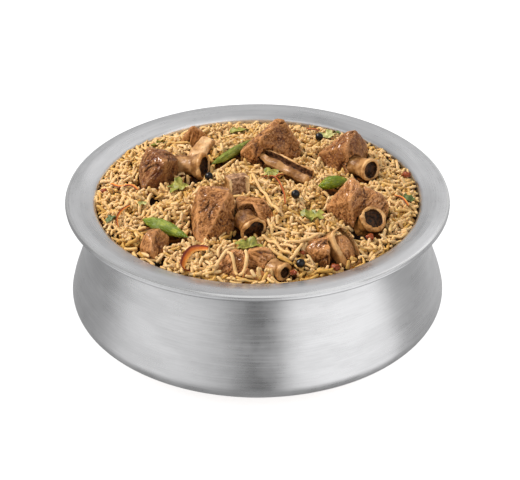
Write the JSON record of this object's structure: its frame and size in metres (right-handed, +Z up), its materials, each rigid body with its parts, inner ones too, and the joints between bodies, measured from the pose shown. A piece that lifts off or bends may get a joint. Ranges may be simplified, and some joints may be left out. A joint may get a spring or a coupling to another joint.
{
  "type": "biryani",
  "caption": "Goat biryani in a wide aluminium handi with a flared rim: a heap of long rice, chunks of meat, cut bones and green chillies.",
  "frame": {"origin": "centre of the pan's flat base, on the surface that it stands on", "axes": "+Z up, the axis of the turned pan; the front of the dish is towards -Y"},
  "size_m": [0.23, 0.23, 0.1153],
  "materials": {
    "handi": "spun, finely brushed aluminium",
    "rice": "soft cooked rice, slightly oily",
    "meat": "braised meat, fibrous, with a thin coat of fat",
    "bone": "cooked bone, smooth, with dull marrow",
    "fat": "pale soft fat, slightly wet",
    "chilli": "waxy green skin",
    "herb": "wilted leaf",
    "onion": "fried onion, thin and oily",
    "pepper": "wrinkled dry peppercorn"
  },
  "bodies": {
    "root": {"handi": "handi", "rice_heap": "rice", "meat_left_back": "meat", "meat_back_small": "meat", "meat_back": "meat", "meat_right_back": "meat", "meat_centre": "meat", "meat_centre_right": "meat", "meat_right": "meat", "meat_front_right": "meat", "meat_front_right_core": "meat", "meat_front_left": "meat", "meat_front": "meat", "meat_left_front": "meat", "bone_left_back": "bone", "bone_back_rib": "bone", "bone_right_back": "bone", "bone_centre_block": "bone", "bone_centre_tube": "bone", "bone_right": "bone", "bone_front_right": "bone", "bone_front": "bone", "bone_front_splinter": "bone", "fat_strip": "fat", "chilli_left": "chilli", "chilli_back": "chilli", "chilli_right": "chilli"}
  },
  "joints": []
}
